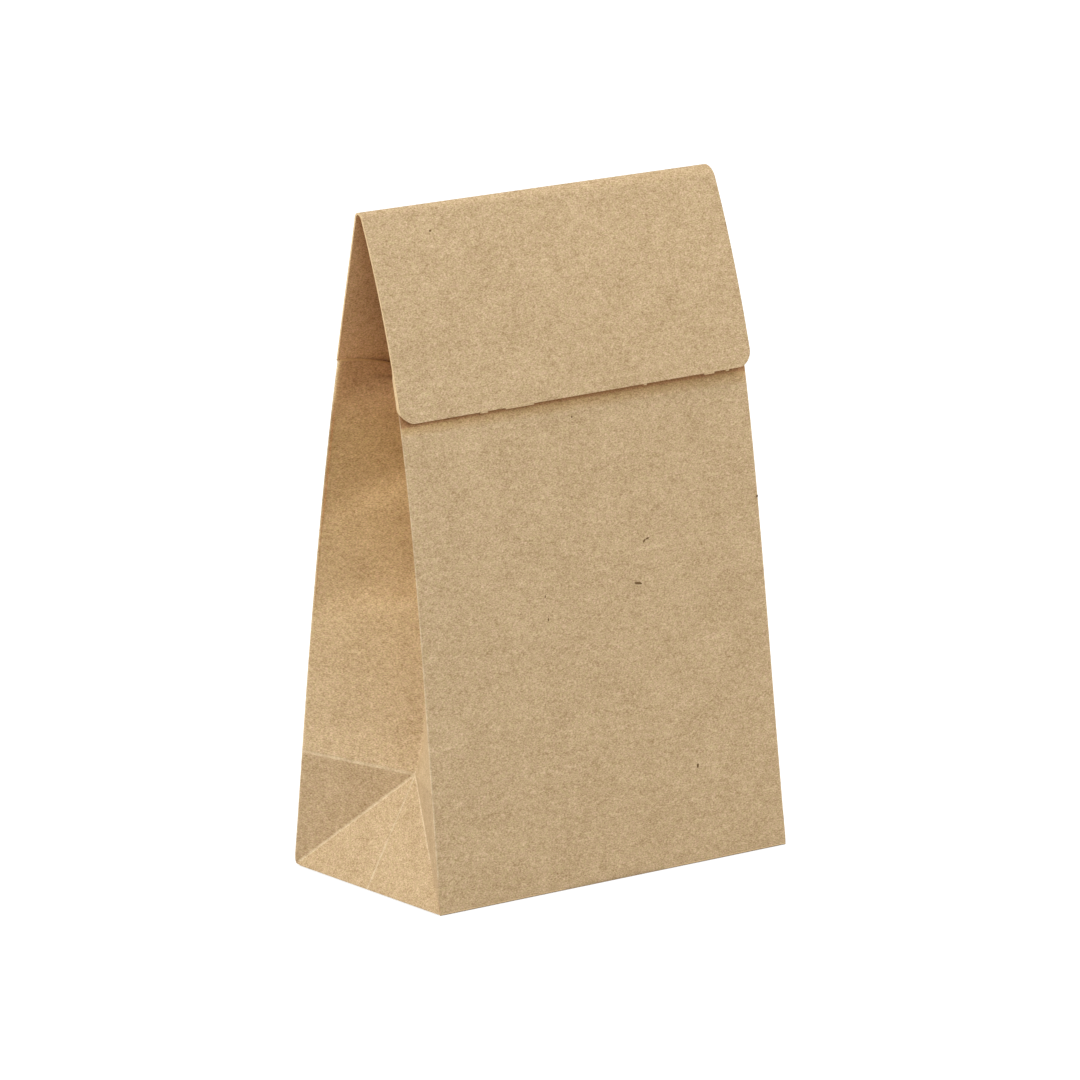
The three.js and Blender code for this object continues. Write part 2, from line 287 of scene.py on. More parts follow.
def made_mesh(name, start, tree, sizes):
    """Runs a tree on a start mesh with its sizes set, and gives the result as a plain mesh object."""
    piece = bpy.data.objects.new(name, start)
    bpy.context.scene.collection.objects.link(piece)
    modifier = piece.modifiers.new("form", "NODES")
    modifier.node_group = tree
    for item in tree.interface.items_tree:
        if item.item_type == "SOCKET" and item.in_out == "INPUT" and item.name in sizes:
            modifier[item.identifier] = sizes[item.name]
    graph = bpy.context.evaluated_depsgraph_get()
    result = bpy.data.meshes.new_from_object(piece.evaluated_get(graph), depsgraph=graph)
    piece.modifiers.remove(modifier)
    piece.data = result
    result.name = name
    return piece


# Materials


def new_material(name):
    """A material with an empty node tree, and that tree."""
    material = bpy.data.materials.new(name)
    material.use_nodes = True
    material.node_tree.nodes.clear()
    return material, material.node_tree


def two_toned(tree, scale, detail, dark, light):
    """A colour that wanders between two over a fine noise."""
    place = add_node(tree, "TexCoord").outputs["Object"]
    noise = add_node(tree, "TexNoise", {"Vector": place, "Scale": scale, "Detail": detail})
    return add_node(tree, "Mix", {"Factor": noise, "A": srgb(dark), "B": srgb(light)}, data_type="RGBA")


def tinted(tree, colour, tints):
    """A colour multiplied by each tint over its share."""
    for share, tint in tints:
        colour = add_node(
            tree,
            "Mix",
            {"Factor": share, "A": colour, "B": srgb(tint)},
            data_type="RGBA",
            blend_type="MULTIPLY",
        )
    return colour


def kraft_board(name, dark, light, pink):
    """Unbleached kraft board, uncoated: matt and brown, with a fine mottle of pressed fibres and a few dark
    flecks of bark, paler fuzzy lines where folding has broken the surface, and no gloss. It also carries
    painted
    shade: warmer and darker where the bag shades itself, and a painted contact shadow below the flap's edge."""
    material, tree = new_material(name)
    place = add_node(tree, "TexCoord").outputs["Object"]
    # Fibres are about 0.3 mm wide where they show, and a little longer across the sheet than up it
    fibre_place = add_node(tree, "Mapping", {"Vector": place, "Scale": (0.66, 0.66, 1.3)})
    fibres, clumps, clouds, blush = (
        add_node(tree, "TexNoise", {"Vector": where, "Scale": scale, "Detail": detail, "Roughness": rough})
        for where, scale, detail, rough in (
            (fibre_place, 3600.0, 1.0, 0.6),
            (fibre_place, 760.0, 2.0, 0.6),
            (place, 130.0, 2.0, 0.5),
            (place, 1700.0, 1.0, 0.5),
        )
    )
    # One signed mottle from the first three, centred on zero
    amounts = ((fibres, 1.35), (clumps, 0.45), (clouds, 0.2))
    mottle = -sum(amount for layer, amount in amounts) / 2
    for layer, amount in amounts:
        mottle = add_node(tree, "Math MULTIPLY_ADD", (layer, amount, mottle))
    level = add_node(tree, "Math ADD", (mottle, 0.5), use_clamp=True)
    # Some fibres are pinker than others
    pale = add_node(tree, "Mix", {"Factor": blush, "A": srgb(pink), "B": srgb(light)}, data_type="RGBA")
    face = add_node(tree, "Mix", {"Factor": level, "A": srgb(dark), "B": pale}, data_type="RGBA")
    # Bark flecks: one cell in four of about 4 mm holds one, up to a quarter of a millimetre across
    cells = add_node(tree, "TexVoronoi", {"Vector": place, "Scale": 260.0})
    chance = add_node(tree, "SeparateColor", {"Color": cells.outputs["Color"]}).outputs["Red"]
    grain = add_node(tree, "MapRange", (chance, 0.72, 1.0, 0.0, 0.06))
    inside = add_node(tree, "Math SUBTRACT", (grain, cells.outputs["Distance"]))
    fleck = add_node(tree, "MapRange", (inside, 0.0, 0.02, 0.0, 0.55))
    flecked = add_node(tree, "Mix", {"Factor": fleck, "A": face, "B": srgb("#6d5130")}, data_type="RGBA")
    sheltered, below_flap, greyed, fold, old_crease = (
        add_node(tree, "Attribute", attribute_name=mark).outputs["Fac"]
        for mark in ("sheltered", "below_flap", "greyed", "fold", "old_crease")
    )
    # Painted shade: where the gusset or the flap shades the board, its colour is tinted a warmer, darker
    # brown that stands in for the shade and the light bounced there, pinker where that shade is deepest.
    # Beside the foot's triangle a duller, darker shade is painted, and a painted contact shadow darkens a
    # thin line just below the flap's edge.
    under_flap = add_node(tree, "MapRange", (below_flap, 0.15, 1.0, 1.0, 0.0))
    # A painted contact shadow: a thin darker band just below the flap's edge, where it meets the front panel
    rubbed = add_node(tree, "MapRange", (below_flap, 0.04, 0.24, 1.0, 0.0))
    # The share of warm painted shade, from the gusset's mark or from the band below the flap
    kept = add_node(tree, "Math MAXIMUM", (sheltered, under_flap))
    pink_shade_paint = add_node(tree, "MapRange", (kept, 0.92, 1.0))
    tints = ((kept, "#fff3da"), (pink_shade_paint, "#fff5fc"), (greyed, "#f1efee"), (rubbed, "#e0d5ce"))
    toned = tinted(tree, flecked, tints)
    # Folding breaks the outer fibres, which turns the line of a fold pale and uneven. A pressed crease leaves
    # such a line too, and a shallow groove. All three fade out with the distance from it.
    fold_line, old_line, groove = (
        add_node(
            tree, "MapRange", (distance, near * MM, far * MM, full, 0.0), interpolation_type="SMOOTHSTEP"
        )
        for distance, near, far, full in (
            (fold, 0.08, 0.42, 0.4),
            (old_crease, 0.1, 0.5, 0.4),
            (old_crease, 0.0, 0.5, -0.12),
        )
    )
    worn = add_node(tree, "Math MAXIMUM", (fold_line, old_line))
    uneven = add_node(tree, "Math MULTIPLY", (worn, clumps))
    patchy = add_node(tree, "Math MULTIPLY", (uneven, 1.6), use_clamp=True)
    colour = add_node(tree, "Mix", {"Factor": patchy, "A": toned, "B": srgb("#efdcb8")}, data_type="RGBA")
    # Relief in millimetres: the fibres' own, and the groove
    height = add_node(tree, "Math MULTIPLY_ADD", (mottle, 0.02, groove))
    relief = add_node(tree, "Bump", {"Strength": 1.0, "Distance": MM, "Height": height})
    surface = add_node(
        tree,
        "BsdfPrincipled",
        {"Base Color": colour, "Normal": relief, "Roughness": 0.9, "IOR": 1.47, "Specular IOR Level": 0.25},
    )
    add_node(tree, "OutputMaterial", {"Surface": surface})
    return material


def cut_edge():
    """The same board where the die has cut it: paler, fuzzy fibre ends with no pressed skin over them. At the
    mouth it is tinted browner by painted shade."""
    material, tree = new_material("cut_edge_of_kraft_board")
    bare = two_toned(tree, 1800.0, 2.0, "#b99a6e", "#e6cda3")
    # Painted shade: browner where the gusset's painted shade mark is set
    kept = add_node(tree, "Attribute", attribute_name="sheltered").outputs["Fac"]
    colour = tinted(tree, bare, ((kept, "#ffecd2"),))
    surface = add_node(
        tree,
        "BsdfPrincipled",
        {"Base Color": colour, "Roughness": 1.0, "IOR": 1.47, "Specular IOR Level": 0.15},
    )
    add_node(tree, "OutputMaterial", {"Surface": surface})
    return material


def bark():
    """Specks of bark and dark fibre pressed into the board: rough, matt and nearly black-brown."""
    material, tree = new_material("bark_in_kraft_board")
    colour = two_toned(tree, 5000.0, 1.0, "#4a3418", "#8a6b42")
    surface = add_node(tree, "BsdfPrincipled", {"Base Color": colour, "Roughness": 0.95, "IOR": 1.5})
    add_node(tree, "OutputMaterial", {"Surface": surface})
    return material


CARD_FACE = kraft_board("uncoated_kraft_board", "#917249", "#dccd96", "#eecab0")
# Its inner face is browner and more saturated than the outer face; that colour also stands in for the warm,
# dim bounced light inside the bag, so it is partly painted shade
CARD_INSIDE = kraft_board("inner_face_of_kraft_board_shade_painted", "#9f713f", "#f0cf8e", "#fdcca8")
CARD_EDGE = cut_edge()

# The folded sheet

SHEET_SIZES = {
    "Half Width": HALF_WIDTH,
    "Half Depth": HALF_DEPTH,
    "Gusset Half": GUSSET_HALF,
    "Crease Height": CREASE_HEIGHT,
    "Mouth Height": MOUTH_HEIGHT,
    "Left Crease Drop": CREASE_DROP["Left"],
    "Right Crease Drop": CREASE_DROP["Right"],
    "Left Flap End": FLAP_END["Left"],
    "Right Flap End": FLAP_END["Right"],
    "Flap Corner": FLAP_CORNER,
    "Bend Width": BEND_WIDTH,
    "Pressed": PRESSED,
    "Left Flap Crown": FLAP_CROWN["Left"],
    "Right Flap Crown": FLAP_CROWN["Right"],
    "Fold Softness": FOLD_SOFTNESS,
    "Corner Softness": CORNER_SOFTNESS,
    "Corner Wear": CORNER_WEAR,
}

# How finely the strips of the sheet are divided
WALL_COLUMNS = 36
GUSSET_COLUMNS = 20
TRIANGLE_COLUMNS = 24
ROWS = {"low": 16, "high": 72, "strap": 24, "arc": 8, "flap": 28, "corner": 16}

# What counts as a side edge of the bag, as the foot's triangle, as one point, and as on a cut edge
NEAR_EDGE = 1 * MM
PAST_APEX = 0.3 * MM
ONE_POINT = 0.002 * MM
ON_CUT_EDGE = 0.02 * MM

# Where two strips meet at more than this angle the sheet has a fold, but for the round top above this height.
# The finished card shades as sharp from the other angle on.
FOLD_ANGLE = math.radians(20)
ARC_BEGINS = 128 * MM
SHARP = math.radians(60)

# The marks that a strip stores at its points, and what they are where nothing is asked. FAR is a distance at
# which a mark no longer counts.
FAR = 1.0
MARKS = {"Bend": 0.0, "Old Crease": FAR, "Sheltered": 0.0, "Greyed": 0.0, "Below Flap": FAR}


def ruled_strip():
    """A group: a grid whose columns run straight from a left to a right edge. The edges are fields on
    the flat grid, and so are the marks that it stores. One more mark tells its border."""
    tree = bpy.data.node_groups.new("ruled_strip", "GeometryNodeTree")
    sockets = {"Columns": "Int", "Rows": "Int", "Left Edge": "Vector", "Right Edge": "Vector"}
    for name, kind in (sockets | dict.fromkeys(("Across", *MARKS), "Float")).items():
        tree.interface.new_socket(name, in_out="INPUT", socket_type="NodeSocket" + kind)
    tree.interface.new_socket("Mesh", in_out="OUTPUT", socket_type="NodeSocketGeometry")
    given = add_node(tree, "NodeGroupInput").outputs
    grid = add_node(
        tree,
        "GeometryNodeMeshGrid",
        {"Size X": 1.0, "Size Y": 1.0, "Vertices X": given["Columns"], "Vertices Y": given["Rows"]},
    )
    off_centre = add_node(tree, "VectorMath ABSOLUTE", (add_node(tree, "GeometryNodeInputPosition"),))
    sides = add_node(tree, "SeparateXYZ", (off_centre,))
    furthest = add_node(tree, "Math MAXIMUM", (sides.outputs["X"], sides.outputs["Y"]))
    border = add_node(tree, "Math GREATER_THAN", (furthest, 0.4999))
    marked = grid.outputs["Mesh"]
    for mark, value in ({mark: given[mark] for mark in MARKS} | {"Border": border}).items():
        marked = add_node(
            tree,
            "GeometryNodeStoreNamedAttribute",
            {"Geometry": marked, "Name": mark.lower().replace(" ", "_"), "Value": value},
        )
    place = add_node(
        tree,
        "Mix",
        {"Factor": given["Across"], "A": given["Left Edge"], "B": given["Right Edge"]},
        data_type="VECTOR",
    )
    placed = add_node(tree, "GeometryNodeSetPosition", {"Geometry": marked, "Position": place})
    add_node(tree, "NodeGroupOutput", {"Mesh": placed})
    return tree


def crowded_share(tree, place):
    """A share from 0 to 1 over a flat grid's side from -0.5 to 0.5, crowded towards both its ends."""
    turn = add_node(tree, "Math MULTIPLY", (place, math.pi))
    wave = add_node(tree, "Math SINE", (turn,))
    return add_node(tree, "Math MULTIPLY_ADD", (wave, 0.5, 0.5))


def leaning_depth(tree, panel, height):
    """The depth of a leaning panel as a field of the height."""
    rise = add_node(tree, "Math DIVIDE", (height, TOP[panel]["height"]))
    late = add_node(tree, "Math POWER", (rise, LEAN[panel]["late"]))
    share = add_node(tree, "Mix", {"Factor": LEAN[panel]["even"], "A": late, "B": rise})
    return add_node(tree, "Mix", {"Factor": share, "A": FOOT[panel], "B": TOP[panel]["depth"]})


def edge_points(tree, size, height):
    """The four upright edges and the two centre creases at a height, as fields."""
    depth = {panel: leaning_depth(tree, panel, height) for panel in LEAN}
    points = {}
    for end, side in SIDE.items():
        x = add_node(tree, "Math MULTIPLY", (size["Half Width"], side))
        for name, panel in (("Front", end), ("Back", "Back")):
            points[name + end] = add_node(tree, "CombineXYZ", (x, depth[panel], height))
        # Each half of the gusset keeps its width, so its crease sinks in as the panels come together
        gap = add_node(tree, "Math SUBTRACT", (depth["Back"], depth[end]))
        half = add_node(tree, "Math MULTIPLY", (gap, 0.5))
        middle = add_node(tree, "Math ADD", (depth[end], half))
        points["Half Gap" + end] = half
        drop = size[end + " Crease Drop"]
        half_squared = add_node(tree, "Math MULTIPLY", (half, half))
        used = add_node(tree, "Math MULTIPLY_ADD", (drop, drop, half_squared))
        width = size["Gusset Half"]
        paper = add_node(tree, "Math MULTIPLY", (width, width))
        left_over = add_node(tree, "Math SUBTRACT", (paper, used))
        inset = add_node(tree, "Math SQRT", (left_over,))
        points["Inset" + end] = inset
        reach = add_node(tree, "Math SUBTRACT", (size["Half Width"], inset))
        crease_x = add_node(tree, "Math MULTIPLY", (reach, side))
        crease_z = add_node(tree, "Math SUBTRACT", (height, drop))
        points["Crease" + end] = add_node(tree, "CombineXYZ", (crease_x, middle, crease_z))
    return points


def facet_lift(tree, size, height, half_gap, from_edge):
    """How far a gusset's half stands out at a place from the even line across it, so that it lies in flat
    facets. Each facet keeps its own angle, which changes over the width of a soft bend."""
    width = size["Gusset Half"]
    inwards = add_node(tree, "Math MULTIPLY", (from_edge, width))
    wanted = FACET_ANGLES[0]
    for (start, climb), lower, upper in zip(SOFT_BENDS, FACET_ANGLES, FACET_ANGLES[1:]):
        rise = add_node(tree, "Math MULTIPLY_ADD", (inwards, climb, start))
        above = add_node(tree, "Math SUBTRACT", (height, rise))
        share = add_node(tree, "Math DIVIDE", (above, size["Bend Width"]))
        passed = add_node(tree, "MapRange", (share, -0.5, 0.5), interpolation_type="SMOOTHSTEP")
        wanted = add_node(tree, "Math MULTIPLY_ADD", (passed, upper - lower, wanted))
    sine = add_node(tree, "Math DIVIDE", (half_gap, width))
    angle = add_node(tree, "Math ARCSINE", (sine,))
    turn = add_node(tree, "Math SUBTRACT", (wanted, angle))
    turned = add_node(tree, "Math MULTIPLY", (turn, inwards))
    # Past the last bend the half is folded right over, and lies on the back panel
    short = add_node(tree, "MapRange", (inwards, 0.0, FOLD_OVER, 1.0, 0.0))
    short_squared = add_node(tree, "Math MULTIPLY", (short, short))
    round_over = add_node(tree, "Math SUBTRACT", (1.0, short_squared))
    over = add_node(tree, "Math MULTIPLY", (round_over, size["Pressed"]))
    lift = add_node(tree, "Math MULTIPLY_ADD", (over, passed, turned))
    # The facets die out at the crease across the foot
    above_foot = add_node(tree, "Math SUBTRACT", (height, size["Crease Height"]))
    foot = add_node(tree, "MapRange", (above_foot, 0.0, FACETS_BEGIN), interpolation_type="SMOOTHSTEP")
    return add_node(tree, "Math MULTIPLY", (lift, foot))


def moved_crease(tree, size, points, end, lift):
    """A gusset's centre crease where the back half's facets put it. The front half follows."""
    share = add_node(tree, "Math DIVIDE", (lift, size["Gusset Half"]))
    sideways, forwards = (
        add_node(tree, "Math MULTIPLY", (points[part + end], way))
        for part, way in (("Half Gap", SIDE[end]), ("Inset", -1))
    )
    across = add_node(tree, "CombineXYZ", (sideways, forwards))
    shift = add_node(tree, "VectorMath SCALE", {0: across, "Scale": share})
    return add_node(tree, "VectorMath ADD", (points["Crease" + end], shift))


def lay_walls(tree, size, across, along, strip):
    """Lays the front and the back panel up to the mouth, and the gussets between them."""
    heights = {
        "low": add_node(tree, "Math MULTIPLY", (along, size["Crease Height"])),
        "high": add_node(
            tree, "Mix", {"Factor": along, "A": size["Crease Height"], "B": size["Mouth Height"]}
        ),
    }
    points, from_crease, faint = {}, {}, {}
    for part, height in heights.items():
        points[part] = edge_points(tree, size, height)
        above = add_node(tree, "Math SUBTRACT", (height, size["Crease Height"]))
        from_crease[part] = add_node(tree, "Math ABSOLUTE", (above,))
        faint[part] = add_node(tree, "Math ADD", (from_crease[part], CREASE_FADE))
    low, high = points["low"], points["high"]
    # How far below the flap a place on the front panel is, as a share of the reach of the shadow painted
    # below the flap
    seen_from = {end: FLAP_END[end] - UNDER_EDGE[end] for end in SIDE}
    flap_edge, shelter = (
        add_node(tree, "Mix", {"Factor": across, "A": at_end["Left"], "B": at_end["Right"]})
        for at_end in (seen_from, UNDER_FLAP)
    )
    below_edge = add_node(tree, "Math SUBTRACT", (flap_edge, heights["high"]))
    below_flap = add_node(tree, "Math DIVIDE", (below_edge, shelter))
    # The front panel stores that share, which sets the painted shadow below the flap; the back panel gets
    # none
    for left, right, below in (("FrontLeft", "FrontRight", below_flap), ("BackRight", "BackLeft", FAR)):
        strip(WALL_COLUMNS, "low", low[left], low[right], {"Old Crease": faint["low"]})
        marks = {"Old Crease": faint["high"], "Below Flap": below}
        strip(WALL_COLUMNS, "high", high[left], high[right], marks)

    # Distance from the crease up the middle of the foot's triangle
    middle = add_node(tree, "Math SUBTRACT", (across, 0.5))
    off_middle = add_node(tree, "Math ABSOLUTE", (middle,))
    left_over = add_node(tree, "Math SUBTRACT", (1.0, along))
    width = add_node(tree, "Math MULTIPLY", (left_over, 2 * HALF_DEPTH))
    from_middle = add_node(tree, "Math MULTIPLY_ADD", (off_middle, width, MIDDLE_FADE))
    # Shade is painted on the gusset more the higher it is, but not on the very edge that it shares with a
    # panel
    deep = add_node(
        tree,
        "MapRange",
        (heights["high"], size["Crease Height"], size["Mouth Height"]),
        interpolation_type="SMOOTHSTEP",
    )
    back_across = add_node(tree, "Math SUBTRACT", (1.0, across))
    at_crease = edge_points(tree, size, size["Crease Height"])
    for end in SIDE:
        first, second = ("Front", "Back") if end == "Right" else ("Back", "Front")
        diagonal = {
            name: add_node(
                tree,
                "Mix",
                {"Factor": along, "A": BASE_CORNERS[name + end], "B": at_crease["Crease" + end]},
                data_type="VECTOR",
            )
            for name in ("Front", "Back")
        }
        # The facets beside the foot's triangle get painted shade, fully on the back half and partly on the
        # front
        marks = {name: {"Greyed": grey} for name, grey in FOOT_PAINTED_SHADE.items()}
        marks["Back"]["Old Crease"] = from_crease["low"]
        strip(GUSSET_COLUMNS, "low", low[first + end], diagonal[first], marks[first])
        strip(TRIANGLE_COLUMNS, "low", diagonal[first], diagonal[second], {"Old Crease": from_middle})
        strip(GUSSET_COLUMNS, "low", diagonal[second], low[second + end], marks[second])

        half_gap = high["Half Gap" + end]
        crease_lift = facet_lift(tree, size, heights["high"], half_gap, 1.0)
        crease = moved_crease(tree, size, high, end, crease_lift)
        # The back half's own bends, over and above what the crease's place gives
        from_back = back_across if end == "Right" else across
        given = add_node(tree, "Math MULTIPLY", (from_back, crease_lift))
        lift = facet_lift(tree, size, heights["high"], half_gap, from_back)
        bend = add_node(tree, "Math SUBTRACT", (lift, given))
        marks = {"Front": {}, "Back": {"Bend": bend, "Old Crease": from_crease["high"]}}
        for name, left, right, inwards in (
            (first, high[first + end], crease, across),
            (second, crease, high[second + end], back_across),
        ):
            # Each half of the gusset stores its share of painted shade
            inside = add_node(tree, "MapRange", (inwards, 0.0, EDGE_SHARE))
            sheltered = add_node(tree, "Math MULTIPLY", (deep, inside))
            strip(GUSSET_COLUMNS, "high", left, right, marks[name] | {"Sheltered": sheltered})


def lay_base(tree, along, strip):
    """Lays the base: two long flaps below, which overlap, and the end flaps above them."""
    reach = HALF_WIDTH - HALF_DEPTH
    overlap = BASE_OVERLAP / 2
    for corners, inner_x in (
        (("FrontRight", "FrontLeft"), reach - overlap),
        (("BackLeft", "BackRight"), -reach - overlap),
    ):
        edges = [
            add_node(
                tree,
                "Mix",
                {"Factor": along, "A": BASE_CORNERS[name], "B": (x, overlap, 0.0)},
                data_type="VECTOR",
            )
            for name, x in zip(corners, (inner_x, -inner_x))
        ]
        strip(WALL_COLUMNS, "low", *edges)
    # The end flaps are one card up from just inside their rim
    lifted = add_node(tree, "MapRange", (along, 0.0, 0.02, 0.0, CARD))
    for side in SIDE.values():
        inwards = add_node(tree, "MapRange", {"Value": along, 3: side * HALF_WIDTH, 4: side * END_FLAP_REACH})
        edges = [
            add_node(tree, "CombineXYZ", (inwards, y, lifted))
            for y in (side * HALF_DEPTH, -side * HALF_DEPTH)
        ]
        strip(TRIANGLE_COLUMNS, "low", *edges)


def lay_strap(tree, size, along, strip):
    """Lays the back panel above the mouth, and the top fold."""
    strap = []
    for end in FROM_BEHIND:
        arc = ARC[end]
        top = FOLD_HEIGHT - arc["rise"]
        swell = arc["centre"] + arc["back"] - panel_depth("Back", top)
        height = add_node(tree, "Mix", {"Factor": along, "A": size["Mouth Height"], "B": top})
        plain = leaning_depth(tree, "Back", height)
        late = add_node(tree, "Math POWER", (along, SWELL_LATE))
        depth = add_node(tree, "Math MULTIPLY_ADD", (late, swell, plain))
        x = SIDE[end] * HALF_WIDTH
        strap.append(add_node(tree, "CombineXYZ", (x, depth, height)))
    strip(WALL_COLUMNS, "strap", *strap)
    for part in ("back", "front"):
        edges = []
        for end in FROM_BEHIND:
            arc = ARC[end]
            turn = (0.0, math.pi / 2) if part == "back" else (math.pi / 2, arc["end"])
            angle = add_node(tree, "MapRange", {"Value": along, 3: turn[0], 4: turn[1]})
            depth, height = (
                add_node(
                    tree, "Math MULTIPLY_ADD", (add_node(tree, "Math " + wave, (angle,)), radius, centre)
                )
                for wave, radius, centre in (
                    ("COSINE", arc[part], arc["centre"]),
                    ("SINE", arc["rise"], FOLD_HEIGHT - arc["rise"]),
                )
            )
            x = SIDE[end] * HALF_WIDTH
            edges.append(add_node(tree, "CombineXYZ", (x, depth, height)))
        strip(WALL_COLUMNS, "arc", *edges)


def lay_flap(tree, size, along, evenly, strip):
    """Lays the flap, down to where its corners round off, and below that."""
    above_end = add_node(tree, "Math SUBTRACT", (1.0, along))
    crown = add_node(tree, "Math POWER", (above_end, CROWN_LATE))
    # A corner is a quarter circle in the flap's plane
    angle = add_node(tree, "Math MULTIPLY", (evenly, math.pi / 2))
    fall = add_node(tree, "Math SINE", (angle,))
    down = add_node(tree, "Math MULTIPLY", (fall, size["Flap Corner"]))
    cosine = add_node(tree, "Math COSINE", (angle,))
    short = add_node(tree, "Math SUBTRACT", (1.0, cosine))
    cut = add_node(tree, "Math MULTIPLY", (short, size["Flap Corner"]))
    half = add_node(tree, "Math SUBTRACT", (size["Half Width"], cut))
    flap, corner = [], []
    for end in FROM_BEHIND:
        round_start = add_node(tree, "Math ADD", (size[end + " Flap End"], size["Flap Corner"]))
        flap_height = add_node(tree, "Mix", {"Factor": along, "A": ARC[end]["landing"], "B": round_start})
        proud = add_node(tree, "Math MULTIPLY", (crown, size[end + " Flap Crown"]))
        corner_height = add_node(tree, "Math SUBTRACT", (round_start, down))
        corner_x = add_node(tree, "Math MULTIPLY", (half, SIDE[end]))
        for height, x, out, edges in (
            (flap_height, SIDE[end] * HALF_WIDTH, proud, flap),
            (corner_height, corner_x, 0.0, corner),
        ):
            under = leaning_depth(tree, end, height)
            top = TOP[end]["height"]
            fallen = add_node(
                tree,
                "MapRange",
                (height, top, top - FLAP[end]["length"], 0.0, CARD + FLAP[end]["lift"]),
                clamp=False,
            )
            swung = add_node(tree, "Math SUBTRACT", (under, fallen))
            depth = add_node(tree, "Math SUBTRACT", (swung, out))
            edges.append(add_node(tree, "CombineXYZ", (x, depth, height)))
    strip(WALL_COLUMNS, "flap", *flap)
    strip(WALL_COLUMNS, "corner", *corner)


def near_edges(tree, mesh, edges):
    """Distance from the nearest of the chosen edges."""
    kept = add_node(
        tree, "GeometryNodeSeparateGeometry", {"Geometry": mesh, "Selection": edges}, domain="EDGE"
    )
    near = add_node(tree, "GeometryNodeProximity", (kept.outputs["Selection"],), target_element="EDGES")
    return near.outputs["Distance"]


def fold_and_wear_edges(tree):
    """Which edges are folds, and which of those are worn pale, as fields."""
    angle = add_node(tree, "GeometryNodeInputMeshEdgeAngle").outputs["Unsigned Angle"]
    place = add_node(tree, "SeparateXYZ", (add_node(tree, "GeometryNodeInputPosition"),)).outputs
    off_centre = add_node(tree, "Math ABSOLUTE", (place["X"],))
    border = add_node(tree, "GeometryNodeInputNamedAttribute", {"Name": "border"})
    line_end = add_node(tree, "MapRange", (place["Y"], FRONT_BEGINS, 0.0, FRONT_LINE_END, BACK_LINE_END))
    # The arc at the top is round already. The folds round the base lie flat on the ground and show no wear,
    # and above the foot's triangle the gussets' centre creases are folded inwards, where nothing rubs them.
    sharp, between, below_arc, off_ground, outer, below_apex = (
        add_node(tree, "FunctionNodeCompare " + test, (value, limit))
        for value, test, limit in (
            (angle, "GREATER_THAN", FOLD_ANGLE),
            (border.outputs["Attribute"], "GREATER_THAN", 0.99),
            (place["Z"], "LESS_THAN", ARC_BEGINS),
            (place["Z"], "GREATER_THAN", line_end),
            (off_centre, "GREATER_THAN", HALF_WIDTH - NEAR_EDGE),
            (place["Z"], "LESS_THAN", apex_height("Left") + PAST_APEX),
        )
    )
    fold = sharp
    for condition in (between, below_arc):
        fold = add_node(tree, "FunctionNodeBooleanMath AND", (fold, condition))
    reached = add_node(tree, "FunctionNodeBooleanMath OR", (outer, below_apex))
    worn = fold
    for condition in (off_ground, reached):
        worn = add_node(tree, "FunctionNodeBooleanMath AND", (worn, condition))
    return fold, worn


def rub_corners(tree, size, mesh):
    """Rubs the base's four corners round, and the one at the back left more than the others."""
    place = add_node(tree, "GeometryNodeInputPosition")
    away = add_node(tree, "VectorMath ABSOLUTE", (place,))
    corner = add_node(tree, "CombineXYZ", (size["Half Width"], size["Half Depth"]))
    from_corner = add_node(tree, "VectorMath DISTANCE", (away, corner))
    close = add_node(tree, "MapRange", (from_corner.outputs["Value"], 0.0, size["Corner Softness"], 1.0, 0.0))
    spot = add_node(tree, "SeparateXYZ", (place,)).outputs
    leftwards = add_node(tree, "Math SUBTRACT", (spot["Y"], spot["X"]))
    share = add_node(
        tree, "MapRange", (leftwards, HALF_WIDTH - HALF_DEPTH, HALF_WIDTH + HALF_DEPTH, OTHER_CORNERS, 1.0)
    )
    rub = size["Corner Wear"]
    for factor in (close, close, share):
        rub = add_node(tree, "Math MULTIPLY", (rub, factor))
    # Each is drawn in along the diagonal of a cube
    towards = add_node(tree, "VectorMath SIGN", (place,))
    pull = add_node(tree, "VectorMath MULTIPLY_ADD", (towards, (-0.58, -0.58, 0.0), (0.0, 0.0, 0.58)))
    shift = add_node(tree, "VectorMath SCALE", {0: pull, "Scale": rub})
    return add_node(tree, "GeometryNodeSetPosition", {"Geometry": mesh, "Offset": shift})


